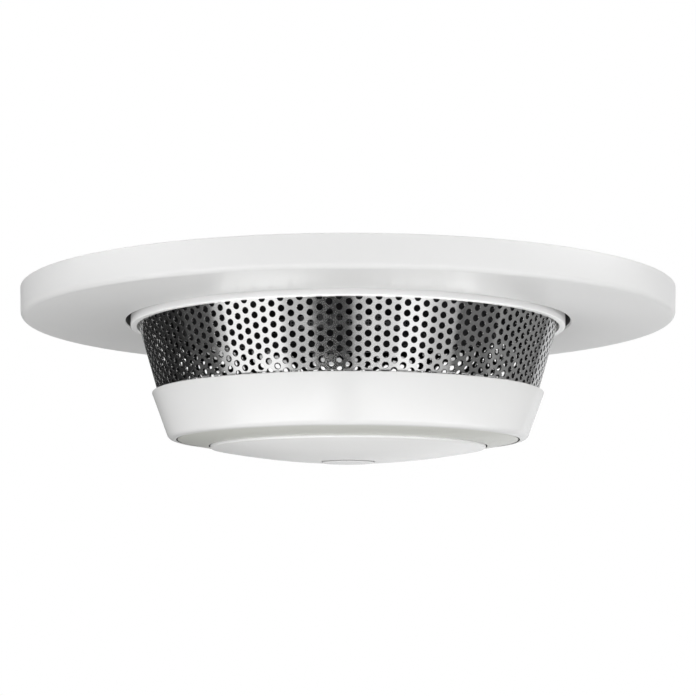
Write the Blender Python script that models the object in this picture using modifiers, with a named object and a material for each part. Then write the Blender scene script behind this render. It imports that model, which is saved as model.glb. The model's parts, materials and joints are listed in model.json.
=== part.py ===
"""Plug-in smoke detector on a flanged ceiling base. The ceiling is z = 0 and the detector hangs below it."""

import math

import bmesh
import bpy
from mathutils import Matrix

MM = 0.001  # all lengths below are in millimetres, and each mesh is scaled once when it is made
STEPS = 48  # facets round the large turned parts
SMALL_STEPS = 32  # facets round the inner parts

# Flanged base
FLANGE_R = 77.5
FLANGE_DRAFT = 0.3
FLANGE_DEPTH = 7.1
WELL_R = 52.9
WELL_WALL = 2.0
BACK_PLATE = 1.5
RIB_COUNT = 8
SLOT_X = 30.0
WIRE_HOLE_R = (8.0, 17.0)

# Bayonet
LEDGE_ANGLES = (90.0, 210.0, 330.0)
LEDGE_HALF = 7.0
LEDGE_R = 51.8
LUG_SPAN = (-4.0, 6.6)
LUG_R = 52.5

# Terminals
TERMINAL_ANGLES = (45.0, 135.0, 225.0, 315.0)
TERMINAL_SCREW = (37.0, 9.5)

# Head
COLLAR_R = 51.45
COLLAR_LIP_R = 51.7
COLLAR_TOP = -2.4
COLLAR_BOTTOM = -8.25
SCREEN_TOP_R = 49.95
SCREEN_TOP = -7.2
SCREEN_BOTTOM_R = 44.55
SCREEN_BOTTOM = -25.2
SCREEN_WALL = 0.4
PLATE_TOP = -6.1
PLATE_BOTTOM = -6.9
BOARD_TOP = -5.1
BOARD_BOTTOM = -5.8
CHAMBER_R = 19.5
VANE_COUNT = 16
POST_X = 42.0
RIBBON_ANGLE = 12.0
RIBBON_X = 40.0
STAKE_R = 35.5
STAKE_ANGLES = (100.0, 220.0, 340.0)

# Cap and test button
DECK_TOP = -23.9
DECK_BOTTOM = -24.9
INDICATOR_TOP = -27.4
INDICATOR_BOTTOM = -28.2
CAP_TOP_R = 46.41
CAP_TOP = -23.66
CAP_FOOT_R = 42.95
CAP_FOOT = -32.9
RING_OUTER_R = 40.33
RING_INNER_R = 32.91
RING_OUTER_Z = -34.76
RING_INNER_Z = -36.21
DOME_R = 32.6
DOME_BOTTOM = -39.86
DOME_RISE = 3.31
DOME_POWER = 1.9
DOME_WALL = 1.6
LENS_R = 6.2
LENS_POCKET_R = 6.45
BUTTON_BARB_ANGLES = (30.0, 150.0, 270.0)
INDICATOR_SCREW_R = 28.0
INDICATOR_SCREW_ANGLES = (30.0, 150.0, 270.0)
LAMP_ANGLES = (0.0, 90.0, 180.0, 270.0)

for existing in list(bpy.data.objects):
    bpy.data.objects.remove(existing, do_unlink=True)

detector = bpy.data.collections.new("smoke_detector")
bpy.context.scene.collection.children.link(detector)
helpers = bpy.data.collections.new("cutters_and_unions")
bpy.context.scene.collection.children.link(helpers)


def plastic(name, colour, roughness, metallic=0.0):
    """A Principled material, with the same colour for the solid view."""
    made = bpy.data.materials.new(name)
    made.use_nodes = True
    shader = made.node_tree.nodes["Principled BSDF"]
    shader.inputs["Base Color"].default_value = (*colour, 1.0)
    shader.inputs["Roughness"].default_value = roughness
    shader.inputs["Metallic"].default_value = metallic
    made.diffuse_color = (*colour, 1.0)
    return made


WHITE = (0.80, 0.80, 0.78)
BLACK = (0.02, 0.02, 0.022)
BRASS = (0.72, 0.55, 0.28)
STEEL = (0.60, 0.60, 0.60)


def finish(bm, name):
    """Closes a bmesh into mesh data in metres, with its faces pointing out."""
    bmesh.ops.remove_doubles(bm, verts=bm.verts, dist=0.0005)
    bmesh.ops.recalc_face_normals(bm, faces=bm.faces)
    bmesh.ops.scale(bm, vec=(MM, MM, MM), verts=bm.verts)
    mesh = bpy.data.meshes.new(name)
    bm.to_mesh(mesh)
    bm.free()
    return mesh


def place(name, mesh, material, body):
    """Links a part, gives it its material and parents it to the empty of its moving body."""
    part = bpy.data.objects.new(name, mesh)
    if not mesh.materials:
        mesh.materials.append(material)
    detector.objects.link(part)
    part.parent = body
    return part


def helper(name, bm):
    """Links a shape that only cuts or extends another part."""
    tool = bpy.data.objects.new(name, finish(bm, name))
    helpers.objects.link(tool)
    tool.hide_render = True
    tool.display_type = "WIRE"
    return tool


def combine(part, tool, operation):
    step = part.modifiers.new(tool.name, "BOOLEAN")
    step.object = tool
    step.operation = operation
    step.solver = "EXACT"


def turned(name, profile, material, body, steps=STEPS):
    """Revolves a profile of (radius, height) about Z. One that starts on the axis is left open."""
    area = sum(
        r0 * z1 - r1 * z0
        for (r0, z0), (r1, z1) in zip(profile, profile[1:] + profile[:1])
    )
    points = list(reversed(profile)) if area > 0 else list(profile)
    mesh = bpy.data.meshes.new(name)
    edges = [(i, i + 1) for i in range(len(points) - 1)]
    if points[0][0] > 0.0:
        edges.append((len(points) - 1, 0))
    mesh.from_pydata([(r * MM, 0.0, z * MM) for r, z in points], edges, [])
    part = place(name, mesh, material, body)
    screw = part.modifiers.new("turn", "SCREW")
    screw.axis = "Z"
    screw.steps = steps
    screw.render_steps = steps
    screw.use_merge_vertices = True
    screw.merge_threshold = 0.00001
    screw.use_smooth_shade = False
    return part


def prism(bm, outline, low, high):
    """Adds an outline of (x, y) points extruded from low to high along Z."""
    base = [bm.verts.new((x, y, low)) for x, y in outline]
    face = bm.faces.new(base)
    extruded = bmesh.ops.extrude_face_region(bm, geom=[face])
    moved = [v for v in extruded["geom"] if isinstance(v, bmesh.types.BMVert)]
    bmesh.ops.translate(bm, vec=(0.0, 0.0, high - low), verts=moved)


def sector(bm, inner, outer, low, high, start, end, pieces=6):
    """Adds a block between two radii and two angles in degrees."""
    angles = [math.radians(start + (end - start) * i / pieces) for i in range(pieces + 1)]
    far = [(outer * math.cos(a), outer * math.sin(a)) for a in angles]
    near = [(inner * math.cos(a), inner * math.sin(a)) for a in reversed(angles)]
    prism(bm, far + near, low, high)


def block(bm, x_span, y_span, z_span, turn=0.0):
    """Adds a box given by its spans, turned about Z by an angle in degrees."""
    made = bmesh.ops.create_cube(bm, size=1.0)["verts"]
    size = [span[1] - span[0] for span in (x_span, y_span, z_span)]
    centre = [(span[1] + span[0]) / 2 for span in (x_span, y_span, z_span)]
    bmesh.ops.scale(bm, vec=size, verts=made)
    bmesh.ops.translate(bm, vec=centre, verts=made)
    about_z = Matrix.Rotation(math.radians(turn), 3, "Z")
    bmesh.ops.rotate(bm, cent=(0.0, 0.0, 0.0), matrix=about_z, verts=made)


def rod(bm, x, y, radius, low, high, sides=20):
    """Adds an upright cylinder."""
    made = bmesh.ops.create_cone(
        bm, cap_ends=True, segments=sides, radius1=radius, radius2=radius, depth=high - low
    )["verts"]
    bmesh.ops.translate(bm, vec=(x, y, (low + high) / 2), verts=made)


def strip(bm, outline, half_width):
    """Adds bent sheet metal: an outline of (x, z) points extruded along Y."""
    base = [bm.verts.new((x, -half_width, z)) for x, z in outline]
    face = bm.faces.new(base)
    extruded = bmesh.ops.extrude_face_region(bm, geom=[face])
    moved = [v for v in extruded["geom"] if isinstance(v, bmesh.types.BMVert)]
    bmesh.ops.translate(bm, vec=(0.0, 2 * half_width, 0.0), verts=moved)


def polar(radius, degrees):
    return radius * math.cos(math.radians(degrees)), radius * math.sin(math.radians(degrees))


def pivot(name, parent=None):
    """An empty on a joint's axis, which carries the parts of one moving body."""
    empty = bpy.data.objects.new(name, None)
    empty.empty_display_size = 0.01
    detector.objects.link(empty)
    empty.parent = parent
    return empty


base_body = pivot("base_body")
head_body = pivot("head_body", base_body)
button_body = pivot("test_button_body", head_body)
plunger_body = pivot("switch_plunger_body", head_body)

# ---------------------------------------------------------------- flanged base
hollow_in = WELL_R + WELL_WALL
mounting_base = turned(
    "mounting_base",
    [
        (0.0, 0.0),
        (hollow_in, 0.0),
        (hollow_in, -5.3),
        (FLANGE_R - 2.0, -5.3),
        (FLANGE_R - 1.8, 0.0),
        (FLANGE_R, 0.0),
        (FLANGE_R - FLANGE_DRAFT, -5.8),
        (FLANGE_R - 0.65, -6.65),
        (FLANGE_R - 1.4, -FLANGE_DEPTH),
        (WELL_R + 0.5, -FLANGE_DEPTH),
        (WELL_R, -6.6),
        (WELL_R, -BACK_PLATE),
        (0.0, -BACK_PLATE),
    ],
    plastic("base_white", WHITE, 0.3),
    base_body,
)

# Stiffening ribs in the hollow behind the flange
bm = bmesh.new()
for index in range(RIB_COUNT):
    rib_angle = 360.0 * index / RIB_COUNT
    block(bm, (hollow_in - 0.6, FLANGE_R - 1.4), (-0.7, 0.7), (-5.7, -0.6), rib_angle)
combine(mounting_base, helper("flange_ribs", bm), "UNION")

# Bayonet ledges in the well, each with a stop at its locked end
bm = bmesh.new()
for angle in LEDGE_ANGLES:
    sector(bm, LEDGE_R, WELL_R + 0.6, -4.4, -3.4, angle - LEDGE_HALF, angle + LEDGE_HALF, 4)
combine(mounting_base, helper("bayonet_ledges", bm), "UNION")
bm = bmesh.new()
for angle in LEDGE_ANGLES:
    stop = angle + LEDGE_HALF
    sector(bm, LEDGE_R + 0.05, WELL_R + 0.7, -4.3, -1.2, stop - 0.05, stop + 2.0, 1)
combine(mounting_base, helper("bayonet_stops", bm), "UNION")

# Wire openings, mounting slots and terminal screw holes through the back plate
bm = bmesh.new()
sector(bm, WIRE_HOLE_R[0], WIRE_HOLE_R[1], -2.5, 1.0, 50.0, 130.0, 10)
sector(bm, WIRE_HOLE_R[0], WIRE_HOLE_R[1], -2.5, 1.0, 230.0, 310.0, 10)
for side in (-1.0, 1.0):
    block(bm, (side * SLOT_X - 2.25, side * SLOT_X + 2.25), (-6.0, 6.0), (-2.5, 1.0))
combine(mounting_base, helper("plate_openings", bm), "DIFFERENCE")
bm = bmesh.new()
screw_r = math.hypot(*TERMINAL_SCREW)
screw_turn = math.degrees(math.atan2(TERMINAL_SCREW[1], TERMINAL_SCREW[0]))
for angle in TERMINAL_ANGLES:
    x, y = polar(screw_r, angle + screw_turn)
    rod(bm, x, y, 1.7, -2.5, 1.0, 16)
combine(mounting_base, helper("terminal_holes", bm), "DIFFERENCE")

# Brass terminal clips: a sheet folded into a U that opens towards the axis, with a tail for the screw
brass = plastic("terminal_brass", BRASS, 0.35, 1.0)
bm = bmesh.new()
strip(
    bm,
    [
        (31.0, -1.8),
        (43.5, -1.8),
        (43.5, -4.4),
        (33.0, -4.4),
        (33.0, -3.9),
        (43.0, -3.9),
        (43.0, -2.3),
        (31.0, -2.3),
    ],
    4.0,
)
clip_mesh = finish(bm, "terminal_clip")
bm = bmesh.new()
block(bm, (33.0, 41.0), (3.0, 13.0), (-2.29, -1.81))
clip_tail = helper("clip_tail", bm)
bm = bmesh.new()
rod(bm, TERMINAL_SCREW[0], TERMINAL_SCREW[1], 1.7, -3.0, -1.0, 16)
clip_hole = helper("clip_hole", bm)
for number, angle in enumerate(TERMINAL_ANGLES, 1):
    clip = place(f"terminal_clip_{number}", clip_mesh, brass, base_body)
    clip.rotation_euler.z = math.radians(angle)
    tail = clip_tail.copy()
    tail.name = f"clip_tail_{number}"
    tail.rotation_euler.z = clip.rotation_euler.z
    helpers.objects.link(tail)
    combine(clip, tail, "UNION")
    hole = clip_hole.copy()
    hole.name = f"clip_hole_{number}"
    hole.rotation_euler.z = clip.rotation_euler.z
    helpers.objects.link(hole)
    combine(clip, hole, "DIFFERENCE")
bpy.data.objects.remove(clip_tail)
bpy.data.objects.remove(clip_hole)

# Terminal screws with a driver slot
screw_steel = plastic("screw_steel", STEEL, 0.3, 1.0)
for number, angle in enumerate(TERMINAL_ANGLES, 1):
    x, y = polar(screw_r, angle + screw_turn)
    screw = turned(
        f"terminal_screw_{number}",
        [(0.0, -0.5), (1.4, -0.5), (1.4, -2.6), (2.8, -2.6), (2.8, -3.5), (2.5, -3.8), (0.0, -3.8)],
        screw_steel,
        base_body,
        20,
    )
    screw.location = (x * MM, y * MM, 0.0)
    bm = bmesh.new()
    block(bm, (x - 3.5, x + 3.5), (y - 0.35, y + 0.35), (-4.2, -3.3))
    combine(screw, helper(f"driver_slot_{number}", bm), "DIFFERENCE")

# ---------------------------------------------------------------- head
head_chassis = turned(
    "head_chassis",
    [
        (49.9, COLLAR_TOP),
        (COLLAR_R, COLLAR_TOP),
        (COLLAR_R, -5.2),
        (COLLAR_LIP_R, -5.6),
        (COLLAR_LIP_R, COLLAR_BOTTOM + 0.25),
        (COLLAR_LIP_R - 0.2, COLLAR_BOTTOM),
        (50.4, COLLAR_BOTTOM),
        (50.25, -8.1),
        (50.25, -5.8),
        (47.5, -5.8),
        (47.5, -4.9),
        (49.9, -4.9),
    ],
    plastic("collar_white", WHITE, 0.3),
    head_body,
)
bm = bmesh.new()
for angle in LEDGE_ANGLES:
    sector(bm, 51.1, LUG_R, -3.1, -2.5, angle + LUG_SPAN[0], angle + LUG_SPAN[1], 4)
combine(head_chassis, helper("bayonet_lugs", bm), "UNION")

sensor_plate = turned(
    "sensor_plate",
    [(16.0, PLATE_TOP), (49.7, PLATE_TOP), (49.7, PLATE_BOTTOM), (16.0, PLATE_BOTTOM)],
    plastic("sensor_plate_black", BLACK, 0.6),
    head_body,
)
bm = bmesh.new()
for angle in STAKE_ANGLES:
    x, y = polar(STAKE_R, angle)
    rod(bm, x, y, 0.9, -6.5, -4.7, 12)
combine(sensor_plate, helper("board_stakes", bm), "UNION")
bm = bmesh.new()
block(bm, (RIBBON_X - 0.7, RIBBON_X + 0.7), (-3.6, 3.6), (-8.0, -5.0), RIBBON_ANGLE)
for side in (-1.0, 1.0):
    rod(bm, side * POST_X, 0.0, 1.3, -8.0, -5.0, 16)
combine(sensor_plate, helper("plate_holes", bm), "DIFFERENCE")

main_board = turned(
    "main_board",
    [(21.5, BOARD_TOP), (38.0, BOARD_TOP), (38.0, BOARD_BOTTOM), (21.5, BOARD_BOTTOM)],
    plastic("main_board_green", (0.05, 0.22, 0.10), 0.45),
    head_body,
    SMALL_STEPS,
)
bm = bmesh.new()
for angle in STAKE_ANGLES:
    x, y = polar(STAKE_R, angle)
    rod(bm, x, y, 1.25, -6.5, -4.5, 12)
combine(main_board, helper("stake_holes", bm), "DIFFERENCE")

# Parts on the main board, all clear of the terminals through the whole twist
bm = bmesh.new()
block(bm, (-3.5, 3.5), (-3.5, 3.5), (-4.8, -3.7))
chip_black = plastic("chip_black", (0.03, 0.03, 0.03), 0.5)
chip = place("microcontroller", finish(bm, "microcontroller"), chip_black, head_body)
chip.location = (*[v * MM for v in polar(30.0, -67.0)], 0.0)
chip.rotation_euler.z = math.radians(-67.0)

bm = bmesh.new()
block(bm, (-2.0, 2.0), (-1.6, 1.6), (-4.8, -3.4))
regulator_black = plastic("regulator_black", (0.04, 0.04, 0.045), 0.5)
regulator = place("voltage_regulator", finish(bm, "regulator"), regulator_black, head_body)
regulator.location = (*[v * MM for v in polar(29.0, -86.0)], 0.0)
regulator.rotation_euler.z = math.radians(-86.0)

capacitor = turned(
    "storage_capacitor",
    [(0.0, -2.3), (2.8, -2.3), (3.0, -2.5), (3.0, -4.8), (0.0, -4.8)],
    plastic("capacitor_aluminium", (0.7, 0.7, 0.72), 0.3, 1.0),
    head_body,
    24,
)
capacitor.location = (*[v * MM for v in polar(30.0, 108.0)], 0.0)

bm = bmesh.new()
block(bm, (32.5, 35.8), (-4.0, 4.0), (-4.8, -3.9))
connector_cream = plastic("connector_cream", (0.75, 0.72, 0.62), 0.5)
connector = place("ribbon_connector", finish(bm, "ribbon_connector"), connector_cream, head_body)
connector.rotation_euler.z = math.radians(RIBBON_ANGLE)

# Contact blades: a foot on the board, a riser and a tongue that sits in the terminal clip
bm = bmesh.new()
strip(
    bm,
    [
        (27.0, -2.8),
        (42.4, -2.8),
        (42.4, -3.3),
        (27.5, -3.3),
        (27.5, -4.3),
        (31.0, -4.3),
        (31.0, -4.8),
        (27.0, -4.8),
    ],
    3.0,
)
blade_mesh = finish(bm, "contact_blade")
nickel = plastic("blade_nickel", (0.66, 0.63, 0.56), 0.3, 1.0)
for number, angle in enumerate(TERMINAL_ANGLES, 1):
    blade = place(f"contact_blade_{number}", blade_mesh, nickel, head_body)
    blade.rotation_euler.z = math.radians(angle)

# Optical chamber: a cup above the sensor plate, and vanes with an insect mesh below it
chamber_cover = turned(
    "chamber_cover",
    [
        (0.0, -2.4),
        (CHAMBER_R - 0.3, -2.4),
        (CHAMBER_R, -2.7),
        (CHAMBER_R, -5.8),
        (CHAMBER_R - 1.2, -5.8),
        (CHAMBER_R - 1.2, -3.3),
        (0.0, -3.3),
    ],
    plastic("chamber_black", BLACK, 0.7),
    head_body,
    SMALL_STEPS,
)
bm = bmesh.new()
block(bm, (16.5, 21.0), (-1.5, 1.5), (-6.4, -3.2), 200.0)
block(bm, (16.5, 21.0), (-1.5, 1.5), (-6.4, -3.2), 335.0)
combine(chamber_cover, helper("lead_notches", bm), "DIFFERENCE")


def optical_device(name, angle, material):
    """A small round-nosed emitter or receiver lying on a radius, with two leads to the board."""
    device = turned(
        name,
        [(0.0, 2.6), (1.0, 2.6), (1.0, -1.9), (0.7, -2.5), (0.0, -2.7)],
        material,
        head_body,
        16,
    )
    device.rotation_euler = (0.0, math.radians(90.0), math.radians(angle))
    device.location = (*[v * MM for v in polar(14.6, angle)], -4.55 * MM)
    leads = bmesh.new()
    block(leads, (16.5, 23.5), (-0.85, -0.45), (-4.75, -4.35), angle)
    block(leads, (16.5, 23.5), (0.45, 0.85), (-4.75, -4.35), angle)
    combine(device, helper(name + "_leads", leads), "UNION")


optical_device("infrared_emitter", 200.0, plastic("emitter_epoxy", (0.10, 0.06, 0.16), 0.15))
optical_device("light_receiver", 335.0, plastic("receiver_epoxy", (0.03, 0.03, 0.04), 0.15))

chamber_labyrinth = turned(
    "chamber_labyrinth",
    [(0.0, -9.6), (18.6, -9.6), (18.6, -10.2), (0.0, -10.2)],
    plastic("labyrinth_black", BLACK, 0.7),
    head_body,
    SMALL_STEPS,
)
bm = bmesh.new()
vane_slant = Matrix.Rotation(math.radians(42.0), 3, "Z")
for index in range(VANE_COUNT):
    made = bmesh.ops.create_cube(bm, size=1.0)["verts"]
    bmesh.ops.scale(bm, vec=(4.6, 0.8, 2.6), verts=made)
    bmesh.ops.rotate(bm, cent=(0.0, 0.0, 0.0), matrix=vane_slant, verts=made)
    bmesh.ops.translate(bm, vec=(15.7, 0.0, -8.5), verts=made)
    vane_turn = Matrix.Rotation(math.radians(360.0 * index / VANE_COUNT), 3, "Z")
    bmesh.ops.rotate(bm, cent=(0.0, 0.0, 0.0), matrix=vane_turn, verts=made)
combine(chamber_labyrinth, helper("vanes", bm), "UNION")

turned(
    "insect_mesh",
    [(19.0, -7.2), (19.3, -7.2), (19.3, -10.2), (19.0, -10.2)],
    plastic("insect_mesh_steel", (0.25, 0.25, 0.26), 0.4, 1.0),
    head_body,
    SMALL_STEPS,
)

# Perforated stainless screen, here a plain thin cone
turned(
    "perforated_screen",
    [
        (SCREEN_TOP_R, SCREEN_TOP),
        (SCREEN_BOTTOM_R, SCREEN_BOTTOM),
        (SCREEN_BOTTOM_R - SCREEN_WALL, SCREEN_BOTTOM),
        (SCREEN_TOP_R - SCREEN_WALL, SCREEN_TOP),
    ],
    plastic("screen_stainless", (0.62, 0.62, 0.62), 0.25, 1.0),
    head_body,
)

# ---------------------------------------------------------------- cap
cap_deck = turned(
    "cap_deck",
    [
        (0.0, DECK_TOP),
        (43.8, DECK_TOP),
        (43.6, DECK_BOTTOM),
        (42.6, DECK_BOTTOM),
        (42.3, -27.1),
        (41.1, -27.1),
        (41.1, DECK_BOTTOM),
        (0.0, DECK_BOTTOM),
    ],
    plastic("deck_black", BLACK, 0.6),
    head_body,
    SMALL_STEPS,
)
bm = bmesh.new()
for side in (-1.0, 1.0):
    rod(bm, side * POST_X, 0.0, 1.7, -24.4, -7.2, 20)
for angle in INDICATOR_SCREW_ANGLES:
    x, y = polar(INDICATOR_SCREW_R, angle)
    rod(bm, x, y, 2.4, -27.1, -24.4, 20)
combine(cap_deck, helper("deck_posts", bm), "UNION")
bm = bmesh.new()
for side in (-1.0, 1.0):
    rod(bm, side * POST_X, 0.0, 1.2, -12.6, -6.5, 12)
for angle in INDICATOR_SCREW_ANGLES:
    x, y = polar(INDICATOR_SCREW_R, angle)
    rod(bm, x, y, 1.2, -27.8, -25.0, 12)
block(bm, (RIBBON_X - 0.7, RIBBON_X + 0.7), (-3.6, 3.6), (-25.6, -23.2), RIBBON_ANGLE)
combine(cap_deck, helper("deck_holes", bm), "DIFFERENCE")

# Screws through the sensor plate into the two posts of the deck
for number, side in enumerate((-1.0, 1.0), 1):
    screw = turned(
        f"cap_screw_{number}",
        [(0.0, -4.7), (1.6, -4.7), (2.0, -5.0), (2.0, -5.8), (0.9, -5.8), (0.9, -11.8), (0.0, -12.3)],
        screw_steel,
        head_body,
        20,
    )
    screw.location.x = side * POST_X * MM

# Flat lead from the main board to the indicator board
bm = bmesh.new()
strip(
    bm,
    [
        (36.1, -4.2),
        (RIBBON_X + 0.15, -4.2),
        (RIBBON_X + 0.15, -26.8),
        (34.6, -26.8),
        (34.6, -26.5),
        (RIBBON_X - 0.15, -26.5),
        (RIBBON_X - 0.15, -4.5),
        (36.1, -4.5),
    ],
    3.0,
)
ribbon_grey = plastic("ribbon_grey", (0.10, 0.10, 0.11), 0.5)
ribbon = place("link_ribbon", finish(bm, "link_ribbon"), ribbon_grey, head_body)
ribbon.rotation_euler.z = math.radians(RIBBON_ANGLE)

turned(
    "cap_shell",
    [
        (45.3, CAP_TOP),
        (CAP_TOP_R - 0.2, CAP_TOP),
        (CAP_TOP_R, CAP_TOP - 0.2),
        (CAP_FOOT_R, CAP_FOOT),
        (42.55, -33.7),
        (41.85, -34.4),
        (41.0, -34.72),
        (40.6, -34.76),
        (40.6, -33.6),
        (41.4, -33.6),
        (41.6, -31.5),
        (43.5, -25.5),
        (44.85, -25.5),
    ],
    plastic("cap_white", WHITE, 0.3),
    head_body,
)

indicator_board = turned(
    "indicator_board",
    [(0.0, INDICATOR_TOP), (40.3, INDICATOR_TOP), (40.3, INDICATOR_BOTTOM), (0.0, INDICATOR_BOTTOM)],
    plastic("indicator_board_green", (0.05, 0.22, 0.10), 0.45),
    head_body,
    SMALL_STEPS,
)
bm = bmesh.new()
for angle in INDICATOR_SCREW_ANGLES:
    x, y = polar(INDICATOR_SCREW_R, angle)
    rod(bm, x, y, 1.3, -29.0, -26.6, 12)
combine(indicator_board, helper("board_screw_holes", bm), "DIFFERENCE")

bm = bmesh.new()
block(bm, (31.0, 34.3), (-4.0, 4.0), (-27.1, -26.1))
socket_cream = plastic("socket_cream", (0.75, 0.72, 0.62), 0.5)
socket = place("indicator_socket", finish(bm, "indicator_socket"), socket_cream, head_body)
socket.rotation_euler.z = math.radians(RIBBON_ANGLE)

bm = bmesh.new()
block(bm, (35.3, 38.3), (-1.5, 1.5), (-29.7, -28.5))
lamp_mesh = finish(bm, "indicator_lamp")
lamp_white = plastic("lamp_white", (0.85, 0.82, 0.70), 0.3)
for number, angle in enumerate(LAMP_ANGLES, 1):
    lamp = place(f"indicator_lamp_{number}", lamp_mesh, lamp_white, head_body)
    lamp.rotation_euler.z = math.radians(angle)

for number, angle in enumerate(INDICATOR_SCREW_ANGLES, 1):
    screw = turned(
        f"indicator_screw_{number}",
        [(0.0, -25.5), (0.9, -25.6), (0.9, -28.5), (2.1, -28.5), (2.1, -29.3), (1.7, -29.6), (0.0, -29.6)],
        screw_steel,
        head_body,
        20,
    )
    screw.location = (*[v * MM for v in polar(INDICATOR_SCREW_R, angle)], 0.0)

bm = bmesh.new()
block(bm, (-3.0, 3.0), (-3.0, 3.0), (-31.6, -28.5))
switch_black = plastic("switch_black", (0.03, 0.03, 0.03), 0.5)
switch_body = place("switch_body", finish(bm, "switch_body"), switch_black, head_body)
bm = bmesh.new()
rod(bm, 0.0, 0.0, 2.0, -32.0, -30.2, 20)
combine(switch_body, helper("switch_bore", bm), "DIFFERENCE")

turned(
    "light_ring",
    [
        (36.0, -30.2),
        (37.6, -30.2),
        (37.6, -33.6),
        (38.9, -33.6),
        (38.9, -32.5),
        (41.1, -32.5),
        (41.1, -33.3),
        (RING_OUTER_R, -33.3),
        (RING_OUTER_R, RING_OUTER_Z),
        (RING_INNER_R, RING_INNER_Z),
        (RING_INNER_R, -34.0),
        (36.0, -34.0),
    ],
    plastic("light_ring_grey", (0.46, 0.46, 0.43), 0.3),
    head_body,
)

# ---------------------------------------------------------------- test button
turned(
    "switch_plunger",
    [(0.0, -31.3), (1.7, -31.3), (1.7, -33.0), (1.5, -33.2), (0.0, -33.2)],
    plastic("plunger_grey", (0.35, 0.35, 0.36), 0.5),
    plunger_body,
    20,
)


def dome_height(radius):
    return DOME_BOTTOM + DOME_RISE * (radius / RING_INNER_R) ** DOME_POWER


outside = [(r, dome_height(r)) for r in (32.3, 29.0, 25.0, 20.5, 15.5, 10.5, LENS_POCKET_R)]
inside = [(r, dome_height(r) + DOME_WALL) for r in (12.0, 18.0, 24.0, 30.0)]
test_button = turned(
    "test_button",
    [(0.0, -33.5), (2.4, -33.5), (2.8, -37.65), (9.0, -37.7)]
    + inside
    + [(31.3, -34.9), (31.3, -33.0), (DOME_R, -33.0), (DOME_R, -36.4)]
    + outside
    + [(LENS_POCKET_R, -38.95), (0.0, -38.95)],
    plastic("button_white", WHITE, 0.3),
    button_body,
)
bm = bmesh.new()
for angle in BUTTON_BARB_ANGLES:
    sector(bm, 32.0, 33.9, -33.7, -33.05, angle - 8.0, angle + 8.0, 3)
combine(test_button, helper("button_barbs", bm), "UNION")

turned(
    "centre_lens",
    [
        (0.0, -39.25),
        (LENS_R, -39.25),
        (LENS_R, -39.85),
        (LENS_R - 0.25, -39.97),
        (3.0, -40.03),
        (0.0, -40.05),
    ],
    plastic("lens_white", (0.78, 0.78, 0.76), 0.15),
    button_body,
    SMALL_STEPS,
)
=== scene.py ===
"""A plug-in smoke detector hanging from its flanged ceiling base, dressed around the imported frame."""

import json
import math

import bmesh
import bpy
from mathutils import Matrix, Vector


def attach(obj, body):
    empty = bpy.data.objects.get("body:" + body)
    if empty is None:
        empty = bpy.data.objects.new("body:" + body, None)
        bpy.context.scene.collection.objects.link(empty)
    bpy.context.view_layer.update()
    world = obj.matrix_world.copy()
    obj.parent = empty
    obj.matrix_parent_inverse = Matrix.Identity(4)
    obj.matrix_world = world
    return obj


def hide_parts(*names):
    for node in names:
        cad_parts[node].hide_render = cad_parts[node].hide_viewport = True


MM = 0.001  # lengths in the profiles are in millimetres
FINE = 240  # facets round a large turned part
SMALL = 96  # facets round a small one
SMOOTH_ANGLE = 32.0  # faces that meet at less than this many degrees shade as one
SLACK = 0.05  # how far a face may lie outside the span that gets painted shade

# Flanged base
FLANGE_R = 77.5
FLANGE_DRAFT = 0.3
FLANGE_EDGE = 1.35
FLANGE_DEPTH = 7.1
WELL_R = 52.9
WELL_WALL = 2.0
HOLLOW_TOP = -5.3  # inner face of the flange, seen from the back
BACK_PLATE = 1.5
RIB_COUNT = 8
RIB_HALF = 0.7
CABLE_OPENING = (8.0, 17.0)  # inner and outer radius of the two curved openings
CABLE_OPENING_HALF = 18.0
SLOT_X = 30.0
SLOT_HALF = (2.25, 6.0)
THROUGH = (-2.5, 1.0)  # heights of a cutter that passes through the back plate
LEDGE_ANGLES = (90.0, 210.0, 330.0)
LEDGE_R = 51.8
LEDGE_HALF = 7.0
STOP_WIDTH = 2.0
LUG_SPAN = (-4.0, 6.6)
TERMINAL_ANGLES = (45.0, 135.0, 225.0, 315.0)
TERMINAL_SCREW = (37.0, 9.5)
TERMINAL_HOLE_R = 1.7

# Head
COLLAR_R = 51.45
COLLAR_LIP_R = 51.7
COLLAR_TOP = -2.4
COLLAR_BOTTOM = -8.25
LUG_R = 52.5
SCREEN_TOP_R = 49.95
SCREEN_TOP = -7.2
SCREEN_BOTTOM_R = 44.55
SCREEN_BOTTOM = -25.2
SCREEN_WALL = 0.4
HOLE_COLUMNS = 146
HOLE_ROWS = 7  # in the lower columns; the columns between them have one more
HOLE_PITCH = 2.174
HOLE_R = 0.77
HOLE_CHAMFER = 0.015
HOLE_SIDES = 16
FIRST_HOLE_Z = -9.2
HOLE_TURN = 0.28

# Cap and button
CAP_TOP_R = 46.41
CAP_TOP = -23.66
CAP_LIP_R = 40.6
RING_OUTER_R = 40.24
RING_INNER_R = 32.91
RING_OUTER_Z = -34.76
RING_INNER_Z = -36.21
DOME_R = 32.6
DOME_BOTTOM = -39.86
DOME_RISE = 3.31
DOME_POWER = 1.9
DOME_WALL = 1.6
LENS_R = 6.2
LENS_POCKET_R = 6.34
LENS_RIM = -39.97
LENS_CROWN = 0.1
BUTTON_BARB_ANGLES = (30.0, 150.0, 270.0)

# Camera
CAMERA_DISTANCE = 0.4345
CAMERA_BELOW = 9.36
CAMERA_LENS = 93.56
CAMERA_SHIFT_Y = -0.0743

# Light
LIGHT_TARGET = (0.0, 0.0, -0.02)
DIM_SURROUND = 0.03  # world strength where no patch shines
# Bright patches of the world: direction of the centre, cosines between which it fades in, strength
WORLD_PATCHES = (
    ((0.0, 0.0, 1.0), 0.35, 0.65, 0.5),
    ((0.31, 0.95, 0.0), 0.89, 0.975, 0.75),
)

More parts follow.
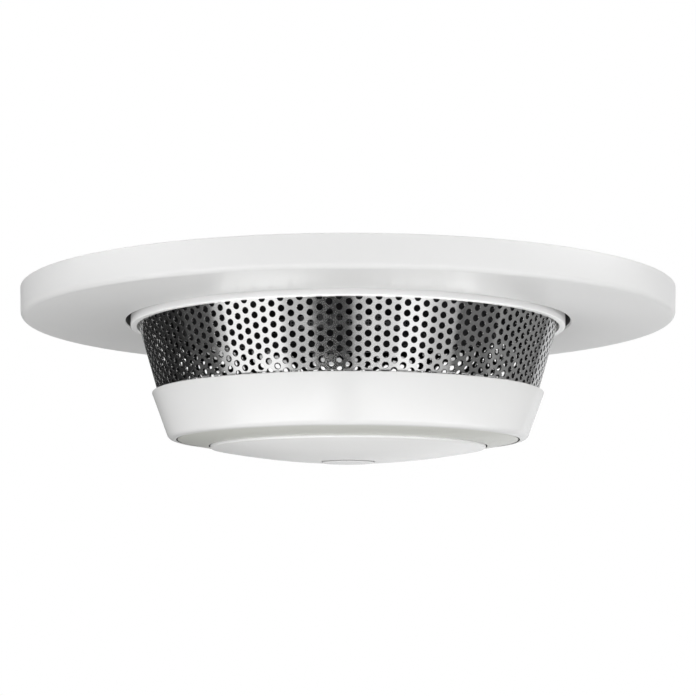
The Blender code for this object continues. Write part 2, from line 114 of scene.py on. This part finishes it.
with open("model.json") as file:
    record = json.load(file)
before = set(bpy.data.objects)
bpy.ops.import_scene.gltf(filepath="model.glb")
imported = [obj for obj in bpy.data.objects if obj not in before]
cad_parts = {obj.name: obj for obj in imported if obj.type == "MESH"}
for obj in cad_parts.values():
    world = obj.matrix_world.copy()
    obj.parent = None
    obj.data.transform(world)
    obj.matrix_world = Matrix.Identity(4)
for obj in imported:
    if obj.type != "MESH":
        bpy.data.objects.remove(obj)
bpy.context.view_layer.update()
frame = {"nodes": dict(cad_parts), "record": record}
scene = bpy.context.scene


# ---------------------------------------------------------------- material helpers
# Stretches of the noise that draws a metal's fine lines
ALONG_X = (14.0, 1.0, 1.0)
ALONG_Y = (1.0, 14.0, 1.0)
ALONG_Z = (1.0, 1.0, 14.0)
UNSTRETCHED = (1.0, 1.0, 1.0)


class Shading:
    """One Principled material being put together: nodes are added left to right and wired by name."""

    def __init__(self, name, colour, roughness, metallic=0.0):
        self.material = bpy.data.materials.new(name)
        self.material.use_nodes = True
        self.tree = self.material.node_tree
        self.shader = self.tree.nodes["Principled BSDF"]
        self.set("Base Color", (*colour, 1.0))
        self.set("Roughness", roughness)
        self.set("Metallic", metallic)
        self.place = self.node("ShaderNodeTexCoord").outputs["Object"]

    def set(self, socket, value):
        self.shader.inputs[socket].default_value = value

    def node(self, kind, **settings):
        made = self.tree.nodes.new(kind)
        for key, value in settings.items():
            setattr(made, key, value)
        return made

    def link(self, source, target):
        self.tree.links.new(source, target)

    def noise(self, scale, stretch=(1.0, 1.0, 1.0)):
        mapping = self.node("ShaderNodeMapping")
        mapping.inputs["Scale"].default_value = stretch
        self.link(self.place, mapping.inputs["Vector"])
        noise = self.node("ShaderNodeTexNoise")
        noise.inputs["Scale"].default_value = scale
        noise.inputs["Detail"].default_value = 2.0
        self.link(mapping.outputs["Vector"], noise.inputs["Vector"])
        return noise.outputs["Fac"]

    def ranged(self, factor, low, high, from_low=0.3, from_high=0.7):
        spread = self.node("ShaderNodeMapRange")
        spread.inputs["From Min"].default_value = from_low
        spread.inputs["From Max"].default_value = from_high
        spread.inputs["To Min"].default_value = low
        spread.inputs["To Max"].default_value = high
        self.link(factor, spread.inputs["Value"])
        return spread.outputs["Result"]

    def mixed(self, factor, first, second):
        mix = self.node("ShaderNodeMix", data_type="RGBA")
        mix.inputs[6].default_value = (*first, 1.0)
        mix.inputs[7].default_value = (*second, 1.0)
        self.link(factor, mix.inputs[0])
        self.link(mix.outputs[2], self.shader.inputs["Base Color"])

    def bump(self, height, distance, strength):
        bump = self.node("ShaderNodeBump")
        bump.inputs["Strength"].default_value = strength
        bump.inputs["Distance"].default_value = distance
        self.link(height, bump.inputs["Height"])
        self.link(bump.outputs["Normal"], self.shader.inputs["Normal"])


def moulded(name, colour, roughness, grain=0.00002, uneven=0.992):
    """Injection-moulded plastic: a faint grain, slow waves in the gloss and a hint of uneven tone."""
    made = Shading(name, colour, roughness)
    slow = made.noise(28.0)
    gloss = made.ranged(slow, roughness * 0.94, roughness * 1.06)
    made.link(gloss, made.shader.inputs["Roughness"])
    made.mixed(made.ranged(slow, 0.0, 1.0), colour, tuple(c * uneven for c in colour))
    made.bump(made.noise(2600.0), grain, 0.35)
    made.set("IOR", 1.49)
    return made


def brushed(name, colour, roughness, stretch=ALONG_Z, scale=900.0, relief=0.3):
    """Bare metal with fine lines square to the stretched axis."""
    made = Shading(name, colour, roughness, 1.0)
    lines = made.noise(scale, stretch)
    gloss = made.ranged(lines, roughness * 0.93, roughness * 1.1)
    made.link(gloss, made.shader.inputs["Roughness"])
    made.mixed(made.ranged(lines, 0.0, 1.0), colour, tuple(c * 0.9 for c in colour))
    made.bump(lines, 0.000006, relief)
    return made


def circuit_board(name):
    """Solder resist over copper: green, with slightly darker and lighter track areas."""
    made = Shading(name, (0.03, 0.16, 0.07), 0.35)
    cells = made.node("ShaderNodeTexVoronoi", distance="MANHATTAN", feature="F1")
    cells.inputs["Scale"].default_value = 320.0
    made.link(made.place, cells.inputs["Vector"])
    tracks = made.ranged(cells.outputs["Distance"], 0.0, 1.0, 0.25, 0.45)
    made.mixed(tracks, (0.045, 0.23, 0.10), (0.02, 0.13, 0.055))
    made.bump(cells.outputs["Distance"], 0.00003, 0.4)
    return made


def wire_cloth(name):
    """Fine dark wire cloth: a square lattice of round wires in relief."""
    made = Shading(name, (0.22, 0.22, 0.23), 0.4, 1.0)
    lattice = made.node("ShaderNodeTexVoronoi", distance="CHEBYCHEV", feature="F1")
    lattice.inputs["Scale"].default_value = 1400.0
    lattice.inputs["Randomness"].default_value = 0.0
    made.link(made.place, lattice.inputs["Vector"])
    wires = made.ranged(lattice.outputs["Distance"], 0.0, 1.0, 0.2, 0.4)
    made.mixed(wires, (0.02, 0.02, 0.02), (0.35, 0.35, 0.36))
    made.bump(lattice.outputs["Distance"], 0.0001, 0.8)
    return made


# ---------------------------------------------------------------- materials
# The base's white is darker than the other whites as painted shade, for its shaded underside
base_white_painted_shade = moulded("base_white_abs_painted_shade", (0.70, 0.70, 0.698), 0.37)
# Dark paint for the shade deep in gaps and in the base's well, not a colour the plastic has
painted_gap_shade = moulded("painted_gap_shade", (0.05, 0.05, 0.05), 0.6)
# The collar's near white is painted light, for light that the flange's overhang keeps off it
collar_white_painted_light = moulded("collar_white_abs_painted_light", (0.985, 0.985, 0.982), 0.26)
white_cap = moulded("cap_white_abs", (0.755, 0.755, 0.752), 0.24)
white_button = moulded("button_white_abs", (0.90, 0.90, 0.895), 0.22)
lens_white = moulded("lens_white_acrylic", (0.90, 0.90, 0.895), 0.12)
# Dark grey on the lens's side wall is a painted reflection of the dark space in front of the detector
lens_rim_painted_reflection = moulded("lens_wall_painted_dark_reflection", (0.40, 0.40, 0.40), 0.08)
ring_grey = moulded("light_ring_diffuser", (0.58, 0.585, 0.55), 0.25)
ring_grey.set("Subsurface Weight", 0.15)
ring_grey.set("Subsurface Radius", (0.002, 0.002, 0.002))
steel_screen = brushed("screen_satin_stainless", (0.71, 0.71, 0.705), 0.145, relief=0.03)
# Painted shade: the cone's inner faces are dark steel for the shade inside the head
steel_inside_painted_shade = brushed("screen_inside_painted_shade", (0.16, 0.16, 0.16), 0.4)
black_matt = moulded("sensor_black_plastic", (0.016, 0.016, 0.018), 0.6, grain=0.00004, uneven=0.8)
board_green = circuit_board("solder_resist_green")
brass = brushed("stamped_brass", (0.72, 0.53, 0.26), 0.3, ALONG_Y)
zinc = brushed("zinc_plated_steel", (0.62, 0.62, 0.60), 0.25, UNSTRETCHED, 1500.0)
nickel = brushed("nickel_plate", (0.68, 0.64, 0.56), 0.22, ALONG_X)
aluminium = brushed("drawn_aluminium", (0.75, 0.75, 0.76), 0.28, (1.0, 1.0, 10.0))
chip_epoxy = moulded("chip_epoxy", (0.022, 0.022, 0.023), 0.5, grain=0.00005, uneven=0.7)
cream_nylon = moulded("cream_nylon", (0.72, 0.68, 0.56), 0.45)
ribbon_grey = moulded("ribbon_polyester", (0.07, 0.07, 0.075), 0.35)
emitter_epoxy = moulded("emitter_epoxy", (0.08, 0.05, 0.14), 0.08)
receiver_epoxy = moulded("receiver_epoxy", (0.02, 0.02, 0.03), 0.08)
lamp_epoxy = moulded("lamp_epoxy", (0.82, 0.80, 0.66), 0.2)
plunger_grey = moulded("plunger_nylon", (0.32, 0.32, 0.33), 0.4)
insect_cloth = wire_cloth("insect_wire_cloth")

# CAD nodes that keep their shape take these materials, by the record's slot
NODE_MATERIALS = {
    "terminal_brass": brass,
    "screw_steel": zinc,
    "sensor_plate_black": black_matt,
    "main_board_green": board_green,
    "chip_black": chip_epoxy,
    "regulator_black": chip_epoxy,
    "capacitor_aluminium": aluminium,
    "connector_cream": cream_nylon,
    "blade_nickel": nickel,
    "chamber_black": black_matt,
    "emitter_epoxy": emitter_epoxy,
    "receiver_epoxy": receiver_epoxy,
    "labyrinth_black": black_matt,
    "insect_mesh_steel": insect_cloth,
    "deck_black": black_matt,
    "ribbon_grey": ribbon_grey,
    "indicator_board_green": board_green,
    "socket_cream": cream_nylon,
    "lamp_white": lamp_epoxy,
    "switch_black": chip_epoxy,
    "plunger_grey": plunger_grey,
}
slot_of = {part["node"]: part["material_slot"] for part in frame["record"]["subparts"]}
for node_name, node_object in frame["nodes"].items():
    shading = NODE_MATERIALS.get(slot_of[node_name])
    if shading is None:
        continue
    slots = node_object.data.materials
    if not slots:
        slots.append(None)
    for index in range(len(slots)):
        slots[index] = shading.material


# ---------------------------------------------------------------- shape helpers
def arc(centre, radius, start, end, pieces):
    """Points of an arc in a profile, by angle in degrees from the outward direction."""
    angles = [math.radians(start + (end - start) * i / pieces) for i in range(pieces + 1)]
    return [(centre[0] + radius * math.cos(a), centre[1] + radius * math.sin(a)) for a in angles]


def rounded(points, radii, pieces=5):
    """Rounds the corners of a closed profile, with a radius for each point and 0 for a sharp one."""
    made = []
    count = len(points)
    for i, (here, radius) in enumerate(zip(points, radii)):
        if radius == 0.0:
            made.append(here)
            continue
        p = Vector(here)
        back = (Vector(points[i - 1]) - p).normalized()
        ahead = (Vector(points[(i + 1) % count]) - p).normalized()
        half = back.angle(ahead) / 2
        reach = radius / math.tan(half)
        centre = p + (back + ahead).normalized() * (radius / math.sin(half))
        first = p + back * reach - centre
        last = p + ahead * reach - centre
        sweep = first.angle(last)
        for k in range(pieces + 1):
            t = k / pieces
            mix = (math.sin((1 - t) * sweep) * first + math.sin(t * sweep) * last) / math.sin(sweep)
            made.append(tuple(centre + mix))
    return made


def finished(bm, name, shading, smooth_angle=SMOOTH_ANGLE):
    """Makes a scene object in metres from a bmesh in millimetres, with its material and shading."""
    bmesh.ops.remove_doubles(bm, verts=bm.verts, dist=0.0004)
    bmesh.ops.recalc_face_normals(bm, faces=bm.faces)
    bmesh.ops.scale(bm, vec=(MM, MM, MM), verts=bm.verts)
    mesh = bpy.data.meshes.new(name)
    bm.to_mesh(mesh)
    bm.free()
    made = bpy.data.objects.new(name, mesh)
    scene.collection.objects.link(made)
    if shading:
        mesh.materials.append(shading.material)
    shade_by_angle(made, smooth_angle)
    return made


def shade_by_angle(made, degrees):
    """Smooth faces, with an edge kept sharp where its faces meet at more than the angle."""
    bm = bmesh.new()
    bm.from_mesh(made.data)
    for face in bm.faces:
        face.smooth = True
    for edge in bm.edges:
        edge.smooth = len(edge.link_faces) == 2 and edge.calc_face_angle(0.0) < math.radians(degrees)
    bm.to_mesh(made.data)
    bm.free()


def turned(name, profile, shading, steps=FINE):
    """Spins a closed profile of (radius, height) about Z."""
    bm = bmesh.new()
    ring = [bm.verts.new((r, 0.0, z)) for r, z in profile]
    edges = []
    for i, vert in enumerate(ring):
        following = ring[(i + 1) % len(ring)]
        if max(vert.co.x, following.co.x) > 1e-6:
            edges.append(bm.edges.new((vert, following)))
    bmesh.ops.spin(
        bm,
        geom=ring + edges,
        axis=(0.0, 0.0, 1.0),
        cent=(0.0, 0.0, 0.0),
        steps=steps,
        angle=2 * math.pi,
        use_merge=True,
    )
    return finished(bm, name, shading)


def polar(radius, degrees):
    return radius * math.cos(math.radians(degrees)), radius * math.sin(math.radians(degrees))


def prism(bm, outline, low, high):
    """An upright solid on a flat outline."""
    base = [bm.verts.new((x, y, low)) for x, y in outline]
    face = bm.faces.new(base)
    extruded = bmesh.ops.extrude_face_region(bm, geom=[face])
    moved = [v for v in extruded["geom"] if isinstance(v, bmesh.types.BMVert)]
    bmesh.ops.translate(bm, vec=(0.0, 0.0, high - low), verts=moved)


def sector(bm, inner, outer, low, high, start, end, pieces=16):
    """Part of a flat ring, between two radii, two heights and two angles."""
    angles = [start + (end - start) * i / pieces for i in range(pieces + 1)]
    far = [polar(outer, angle) for angle in angles]
    near = [polar(inner, angle) for angle in reversed(angles)]
    prism(bm, far + near, low, high)


def bean(bm, inner, outer, low, high, start, end, pieces=20):
    """A curved slot with round ends between two radii."""
    middle = (inner + outer) / 2
    end_r = (outer - inner) / 2
    outline = []
    for radius, first, last, turn in ((outer, start, end, 0.0), (inner, end, start, 180.0)):
        outline += [polar(radius, first + (last - first) * i / pieces) for i in range(pieces + 1)]
        x, y = polar(middle, last)
        for i in range(1, 12):
            dx, dy = polar(end_r, last + turn + 15.0 * i)
            outline.append((x + dx, y + dy))
    prism(bm, outline, low, high)


def block(bm, x_span, y_span, z_span, turn=0.0):
    """A box between three pairs of limits, then turned about Z."""
    made = bmesh.ops.create_cube(bm, size=1.0)["verts"]
    bmesh.ops.scale(bm, vec=[s[1] - s[0] for s in (x_span, y_span, z_span)], verts=made)
    bmesh.ops.translate(bm, vec=[(s[1] + s[0]) / 2 for s in (x_span, y_span, z_span)], verts=made)
    about_z = Matrix.Rotation(math.radians(turn), 3, "Z")
    bmesh.ops.rotate(bm, cent=(0.0, 0.0, 0.0), matrix=about_z, verts=made)


def rod(bm, x, y, radius, low, high, sides=48):
    made = bmesh.ops.create_cone(
        bm, cap_ends=True, segments=sides, radius1=radius, radius2=radius, depth=high - low
    )["verts"]
    bmesh.ops.translate(bm, vec=(x, y, (low + high) / 2), verts=made)


def combine(made, bm, operation):
    """Applies one exact Boolean with a throwaway shape."""
    tool = finished(bm, "tool", None)
    step = made.modifiers.new("combine", "BOOLEAN")
    step.object = tool
    step.operation = operation
    step.solver = "EXACT"
    bpy.context.view_layer.update()
    graph = bpy.context.evaluated_depsgraph_get()
    result = bpy.data.meshes.new_from_object(made.evaluated_get(graph))
    made.modifiers.clear()
    old = made.data
    made.data = result
    bpy.data.meshes.remove(old)
    bpy.data.objects.remove(tool)
    shade_by_angle(made, SMOOTH_ANGLE)


def paint_gap_shade(made, radii, heights):
    """Gives the dark material of painted shade to the faces centred between two radii and two heights,
    for the shade deep in gaps and hollows.
    """
    made.data.materials.append(painted_gap_shade.material)
    for face in made.data.polygons:
        x, y, z = face.center / MM
        in_radii = radii[0] - SLACK < math.hypot(x, y) < radii[1] + SLACK
        if in_radii and heights[0] - SLACK < z < heights[1] + SLACK:
            face.material_index = 1


def stands_for(made, node, body):
    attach(made, body)
    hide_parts(node)


# ---------------------------------------------------------------- flanged base
def make_base():
    hollow_in = WELL_R + WELL_WALL
    profile = rounded(
        [
            (0.0, 0.0),
            (hollow_in, 0.0),
            (hollow_in, HOLLOW_TOP),
            (FLANGE_R - 2.0, HOLLOW_TOP),
            (FLANGE_R - 1.8, 0.0),
            (FLANGE_R, 0.0),
            (FLANGE_R - FLANGE_DRAFT, -FLANGE_DEPTH),
            (WELL_R, -FLANGE_DEPTH),
            (WELL_R, -BACK_PLATE),
            (0.0, -BACK_PLATE),
        ],
        [0.0, 0.3, 0.6, 0.6, 0.2, 0.2, FLANGE_EDGE, 0.5, 0.4, 0.0],
        8,
    )
    base = turned("flanged_base", profile, base_white_painted_shade)
    ribs = bmesh.new()
    reach = (hollow_in - 0.6, FLANGE_R - 1.4)
    for index in range(RIB_COUNT):
        turn = 360.0 * index / RIB_COUNT
        block(ribs, reach, (-RIB_HALF, RIB_HALF), (HOLLOW_TOP - 0.4, -0.6), turn)
    combine(base, ribs, "UNION")
    ledges = bmesh.new()
    for angle in LEDGE_ANGLES:
        sector(ledges, LEDGE_R, WELL_R + 0.6, -4.4, -3.4, angle - LEDGE_HALF, angle + LEDGE_HALF)
    combine(base, ledges, "UNION")
    stops = bmesh.new()
    for angle in LEDGE_ANGLES:
        start = angle + LEDGE_HALF
        sector(stops, LEDGE_R + 0.05, WELL_R + 0.7, -4.3, -1.2, start - 0.05, start + STOP_WIDTH)
    combine(base, stops, "UNION")
    openings = bmesh.new()
    for angle in (90.0, 270.0):
        span = (angle - CABLE_OPENING_HALF, angle + CABLE_OPENING_HALF)
        bean(openings, *CABLE_OPENING, *THROUGH, *span)
    for middle in (-SLOT_X, SLOT_X):
        width = (middle - SLOT_HALF[0], middle + SLOT_HALF[0])
        block(openings, width, (-SLOT_HALF[1], SLOT_HALF[1]), THROUGH)
    screw_r = math.hypot(*TERMINAL_SCREW)
    screw_turn = math.degrees(math.atan2(TERMINAL_SCREW[1], TERMINAL_SCREW[0]))
    for angle in TERMINAL_ANGLES:
        x, y = polar(screw_r, angle + screw_turn)
        rod(openings, x, y, TERMINAL_HOLE_R, *THROUGH)
    combine(base, openings, "DIFFERENCE")
    # Painted shade on the well's back plate and wall, which lie deep behind the collar
    paint_gap_shade(base, (0.0, WELL_R), (-6.55, -BACK_PLATE))
    stands_for(base, "mounting_base", "base")


# ---------------------------------------------------------------- head
def make_collar():
    profile = rounded(
        [
            (49.9, COLLAR_TOP),
            (COLLAR_R, COLLAR_TOP),
            (COLLAR_R, -5.2),
            (COLLAR_LIP_R, -5.6),
            (COLLAR_LIP_R, COLLAR_BOTTOM),
            (50.25, COLLAR_BOTTOM),
            (50.25, -5.8),
            (47.5, -5.8),
            (47.5, -4.9),
            (49.9, -4.9),
        ],
        [0.2, 0.2, 0.2, 0.2, 0.3, 0.12, 0.0, 0.2, 0.2, 0.3],
    )
    collar = turned("head_collar", profile, collar_white_painted_light)
    lugs = bmesh.new()
    for angle in LEDGE_ANGLES:
        sector(lugs, 51.1, LUG_R, -3.1, -2.5, angle + LUG_SPAN[0], angle + LUG_SPAN[1])
    combine(collar, lugs, "UNION")
    stands_for(collar, "head_chassis", "head")


def screen_radius(z):
    """Outer radius of the conical screen at a height."""
    share = (SCREEN_TOP - z) / (SCREEN_TOP - SCREEN_BOTTOM)
    return SCREEN_TOP_R + (SCREEN_BOTTOM_R - SCREEN_TOP_R) * share


def make_screen():
    """The perforated cone.

    Each hole has a cell one column wide and one pitch high. Alternate columns are half a pitch
    higher, so each cell's corners meet the middles of its neighbours' sides. Plain cells level
    the rims.
    """
    bm = bmesh.new()
    column = 2 * math.pi / HOLE_COLUMNS
    lean = math.atan((SCREEN_TOP_R - SCREEN_BOTTOM_R) / (SCREEN_TOP - SCREEN_BOTTOM))
    turn = math.radians(270.0 + HOLE_TURN)
    half = HOLE_PITCH / 2
    last_z = FIRST_HOLE_Z - half - HOLE_PITCH * HOLE_ROWS

    def point(angle, z, depth):
        radius = screen_radius(z) - depth * math.cos(lean)
        z += depth * math.sin(lean)
        return bm.verts.new((radius * math.cos(angle), radius * math.sin(angle), z))

    def rim(middle, centre, hole_r, depth):
        around = []
        for k in range(HOLE_SIDES):
            a = 2 * math.pi * k / HOLE_SIDES
            across = hole_r * math.cos(a) / screen_radius(centre)
            around.append(point(middle + across, centre + hole_r * math.sin(a) * math.cos(lean), depth))
        return around

    def border(middle, top, centre, bottom, depth):
        right = ((1, centre), (1, top), (0, top), (-1, top))
        left = ((-1, centre), (-1, bottom), (0, bottom), (1, bottom))
        return [point(middle + x * column / 2, z, depth) for x, z in right + left]

    def pierced(middle, top, centre, bottom):
        narrow = HOLE_R - HOLE_CHAMFER
        steps = ((0.0, HOLE_R), (HOLE_CHAMFER, narrow), (SCREEN_WALL, narrow))
        chain = [rim(middle, centre, hole_r, depth) for depth, hole_r in steps]
        for depth, around, inside in ((0.0, chain[0], 0), (SCREEN_WALL, chain[-1], 1)):
            corners = border(middle, top, centre, bottom, depth)
            spokes = HOLE_SIDES // 8
            for k in range(8):
                part = [around[(spokes * (k + 1) - j) % HOLE_SIDES] for j in range(spokes + 1)]
                bm.faces.new([corners[k], corners[(k + 1) % 8], *part]).material_index = inside
        for outer, inner in zip(chain, chain[1:]):
            for k in range(HOLE_SIDES):
                following = (k + 1) % HOLE_SIDES
                bm.faces.new([outer[k], outer[following], inner[following], inner[k]])

    def plain(middle, top, bottom):
        for depth, inside in ((0.0, 0), (SCREEN_WALL, 1)):
            low = [point(middle + x * column / 2, bottom, depth) for x in (-1, 0, 1)]
            high = [point(middle + x * column / 2, top, depth) for x in (1, 0, -1)]
            bm.faces.new(low + high).material_index = inside

    for c in range(HOLE_COLUMNS):
        middle = turn + c * column
        first = FIRST_HOLE_Z + (half if c % 2 else 0.0)
        rows = HOLE_ROWS + c % 2
        for row in range(rows):
            centre = first - HOLE_PITCH * row
            pierced(middle, min(centre + half, SCREEN_TOP), centre, centre - half)
        if c % 2 == 0:
            plain(middle, SCREEN_TOP, FIRST_HOLE_Z + half)
            plain(middle, last_z + half, last_z)
        plain(middle, last_z, SCREEN_BOTTOM)
    bmesh.ops.remove_doubles(bm, verts=bm.verts, dist=0.002)
    loops = {"high": [[], []], "low": [[], []]}
    for edge in bm.edges:
        if not edge.is_boundary:
            continue
        x, y, z = (edge.verts[0].co + edge.verts[1].co) / 2
        side = "high" if z > (SCREEN_TOP + SCREEN_BOTTOM) / 2 else "low"
        loops[side][math.hypot(x, y) < screen_radius(z) - SCREEN_WALL * 0.7].append(edge)
    for outside, inside in loops.values():
        bmesh.ops.bridge_loops(bm, edges=outside + inside)
    screen = finished(bm, "perforated_cone", steel_screen, 40.0)
    # The inner faces take the dark steel of painted shade
    screen.data.materials.append(steel_inside_painted_shade.material)
    stands_for(screen, "perforated_screen", "head")


# ---------------------------------------------------------------- cap and button
def make_cap():
    profile = rounded(
        [
            (45.3, CAP_TOP),
            (CAP_TOP_R + 0.06, CAP_TOP),
            (42.35, -34.55),
            (CAP_LIP_R, -34.82),
            (CAP_LIP_R, -33.6),
            (41.4, -33.6),
            (41.6, -31.5),
            (43.5, -25.5),
            (44.85, -25.5),
        ],
        [0.1, 0.22, 1.6, 0.08, 0.0, 0.0, 0.0, 0.2, 0.0],
        8,
    )
    cap = turned("cap_cone", profile, white_cap)
    # Painted shade on the inner wall of the cap's lip, in the gap around the light ring
    paint_gap_shade(cap, (CAP_LIP_R, CAP_LIP_R), (-34.7, -33.6))
    stands_for(cap, "cap_shell", "head")


def make_light_ring():
    profile = rounded(
        [
            (36.0, -30.2),
            (37.6, -30.2),
            (37.6, -33.6),
            (38.9, -33.6),
            (38.9, -32.5),
            (41.1, -32.5),
            (41.1, -33.3),
            (RING_OUTER_R, -33.3),
            (RING_OUTER_R, RING_OUTER_Z),
            (RING_INNER_R, RING_INNER_Z),
            (RING_INNER_R, -34.0),
            (36.0, -34.0),
        ],
        [0.2, 0.2, 0.2, 0.2, 0.1, 0.1, 0.1, 0.0, 0.1, 0.1, 0.1, 0.1],
    )
    ring = turned("light_diffuser", profile, ring_grey)
    # Painted shade on the ring's inner wall, in the gap around the dome
    paint_gap_shade(ring, (RING_INNER_R, RING_INNER_R), (RING_INNER_Z + 0.1, -34.0))
    stands_for(ring, "light_ring", "head")


def dome_height(radius):
    return DOME_BOTTOM + DOME_RISE * (radius / RING_INNER_R) ** DOME_POWER


def make_button():
    outside = [(r, dome_height(r)) for r in [32.4 - 1.0 * k for k in range(25)]]
    inside = [(r, dome_height(r) + DOME_WALL) for r in [12.0 + 1.5 * k for k in range(13)]]
    edge = arc((DOME_R - 0.22, -36.27), 0.22, 0.0, -70.0, 5)
    lip_r = LENS_POCKET_R + 0.15
    lip = [(lip_r, dome_height(lip_r)), (LENS_POCKET_R, dome_height(LENS_POCKET_R) + 0.12)]
    profile = (
        [(0.0, -33.5), (2.4, -33.5), (2.8, -37.65), (9.0, -37.7)]
        + inside
        + [(31.3, -34.9), (31.3, -33.0), (DOME_R, -33.0)]
        + edge
        + outside
        + lip
        + [(LENS_POCKET_R, -38.95), (0.0, -38.95)]
    )
    button = turned("button_dome", profile, white_button)
    barbs = bmesh.new()
    for angle in BUTTON_BARB_ANGLES:
        sector(barbs, 32.0, 33.9, -33.7, -33.05, angle - 8.0, angle + 8.0)
    combine(button, barbs, "UNION")
    stands_for(button, "test_button", "test_button")


def make_lens():
    angles = [math.pi / 2 * k / 12 for k in range(2, 12)]
    crown = [(LENS_R * math.cos(a), LENS_RIM - LENS_CROWN * math.sin(a)) for a in angles]
    profile = [
        (0.0, -39.25),
        (LENS_R, -39.25),
        (LENS_R, -39.9),
        *crown,
        (0.0, LENS_RIM - LENS_CROWN),
    ]
    lens = turned("button_lens", profile, lens_white, SMALL)
    # Its side wall takes the dark grey of the painted reflection
    lens.data.materials.append(lens_rim_painted_reflection.material)
    for face in lens.data.polygons:
        face.material_index = int(abs(face.normal.z) < 0.3)
    stands_for(lens, "centre_lens", "test_button")


make_base()
make_collar()
make_screen()
make_cap()
make_light_ring()
make_button()
make_lens()


# ---------------------------------------------------------------- camera, light and floor
def aim(thing, target=(0.0, 0.0, 0.0)):
    direction = Vector(target) - thing.location
    thing.rotation_euler = direction.to_track_quat("-Z", "Y").to_euler()


camera_data = bpy.data.cameras.new("camera")
camera_data.sensor_width = 36.0
camera_data.lens = CAMERA_LENS
camera_data.shift_y = CAMERA_SHIFT_Y
camera_data.clip_start = 0.01
camera = bpy.data.objects.new("camera", camera_data)
scene.collection.objects.link(camera)
below = math.radians(CAMERA_BELOW)
camera.location = (0.0, -CAMERA_DISTANCE * math.cos(below), -CAMERA_DISTANCE * math.sin(below))
aim(camera)
scene.camera = camera


def softbox(name, azimuth, elevation, distance, width, height, power):
    """A rectangular area light. Azimuth 0 is towards the camera and positive goes to its right."""
    light = bpy.data.lights.new(name, "AREA")
    light.shape = "RECTANGLE"
    light.size = width
    light.size_y = height
    light.energy = power
    thing = bpy.data.objects.new(name, light)
    scene.collection.objects.link(thing)
    thing.visible_camera = False
    a = math.radians(azimuth)
    e = math.radians(elevation)
    thing.location = (
        distance * math.cos(e) * math.sin(a),
        -distance * math.cos(e) * math.cos(a),
        distance * math.sin(e),
    )
    aim(thing, LIGHT_TARGET)


# A band of softboxes stands level with the screen, whose metal mirrors them as upright stripes
softbox("left_softbox", -54.0, -14.0, 1.3, 0.78, 1.1, 1.8)
softbox("left_fill", -49.5, -14.0, 1.5, 1.58, 1.1, 3.3)
softbox("left_tail", -88.0, -14.0, 1.3, 0.55, 1.1, 0.12)
softbox("right_softbox", 36.5, -14.0, 1.3, 0.34, 1.1, 0.5)
softbox("right_middle", 30.0, -14.0, 1.3, 0.85, 1.1, 0.7)
softbox("right_fill", 33.0, -14.0, 1.5, 1.6, 1.1, 3.3)
softbox("right_tail", 80.0, -14.0, 1.3, 0.6, 1.1, 0.3)
softbox("right_edge", 112.0, -8.0, 1.5, 1.2, 1.1, 1.0)
# The others stand above or below that band and only light the white plastics
softbox("front_top", 4.0, 33.0, 1.4, 2.2, 0.6, 8.7)
softbox("left_high", -80.0, 22.0, 1.4, 1.2, 0.6, 7.0)
softbox("right_high", 82.0, 22.0, 1.4, 1.2, 0.6, 8.5)
softbox("low_left", -46.0, -46.0, 1.3, 1.5, 0.5, 12.9)
softbox("low_right", 44.0, -46.0, 1.3, 1.5, 0.5, 9.5)
softbox("low_side", 90.0, -45.0, 1.3, 1.0, 0.5, 4.0)


def make_world():
    """A white backdrop for the camera, and another surround for light and reflections.

    That one has a soft wash overhead and a pale card behind the object, off to the right. It is
    dim everywhere else, where the softboxes stand.
    """
    world = bpy.data.worlds.new("white_studio")
    world.use_nodes = True
    tree = world.node_tree
    tree.nodes.clear()
    direction = tree.nodes.new("ShaderNodeTexCoord")
    strength = None
    for centre, start, end, level in WORLD_PATCHES:
        towards = tree.nodes.new("ShaderNodeVectorMath")
        towards.operation = "DOT_PRODUCT"
        towards.inputs[1].default_value = Vector(centre).normalized()
        tree.links.new(direction.outputs["Generated"], towards.inputs[0])
        edge = tree.nodes.new("ShaderNodeMapRange")
        edge.interpolation_type = "SMOOTHSTEP"
        edge.inputs["From Min"].default_value = start
        edge.inputs["From Max"].default_value = end
        edge.inputs["To Min"].default_value = DIM_SURROUND
        edge.inputs["To Max"].default_value = level
        tree.links.new(towards.outputs["Value"], edge.inputs["Value"])
        if strength is None:
            strength = edge.outputs["Result"]
            continue
        brightest = tree.nodes.new("ShaderNodeMath")
        brightest.operation = "MAXIMUM"
        tree.links.new(strength, brightest.inputs[0])
        tree.links.new(edge.outputs["Result"], brightest.inputs[1])
        strength = brightest.outputs["Value"]
    studio = tree.nodes.new("ShaderNodeBackground")
    studio.inputs["Color"].default_value = (0.985, 0.99, 1.0, 1.0)
    tree.links.new(strength, studio.inputs["Strength"])
    backdrop = tree.nodes.new("ShaderNodeBackground")
    backdrop.inputs["Color"].default_value = (1.0, 1.0, 1.0, 1.0)
    seen = tree.nodes.new("ShaderNodeLightPath")
    choose = tree.nodes.new("ShaderNodeMixShader")
    out = tree.nodes.new("ShaderNodeOutputWorld")
    tree.links.new(seen.outputs["Is Camera Ray"], choose.inputs["Fac"])
    tree.links.new(studio.outputs["Background"], choose.inputs[1])
    tree.links.new(backdrop.outputs["Background"], choose.inputs[2])
    tree.links.new(choose.outputs["Shader"], out.inputs["Surface"])
    scene.world = world


make_world()
scene.view_settings.view_transform = "Standard"
scene.view_settings.look = "None"


def make_floor():
    """A pale floor well under the ceiling that the detector hangs from."""
    bm = bmesh.new()
    bmesh.ops.create_circle(bm, cap_ends=True, segments=96, radius=1.1)
    mesh = bpy.data.meshes.new("floor")
    bm.to_mesh(mesh)
    bm.free()
    floor = bpy.data.objects.new("floor", mesh)
    scene.collection.objects.link(floor)
    floor.location.z = -0.9
    pale = moulded("pale_floor", (0.82, 0.82, 0.81), 0.6)
    mesh.materials.append(pale.material)


make_floor()
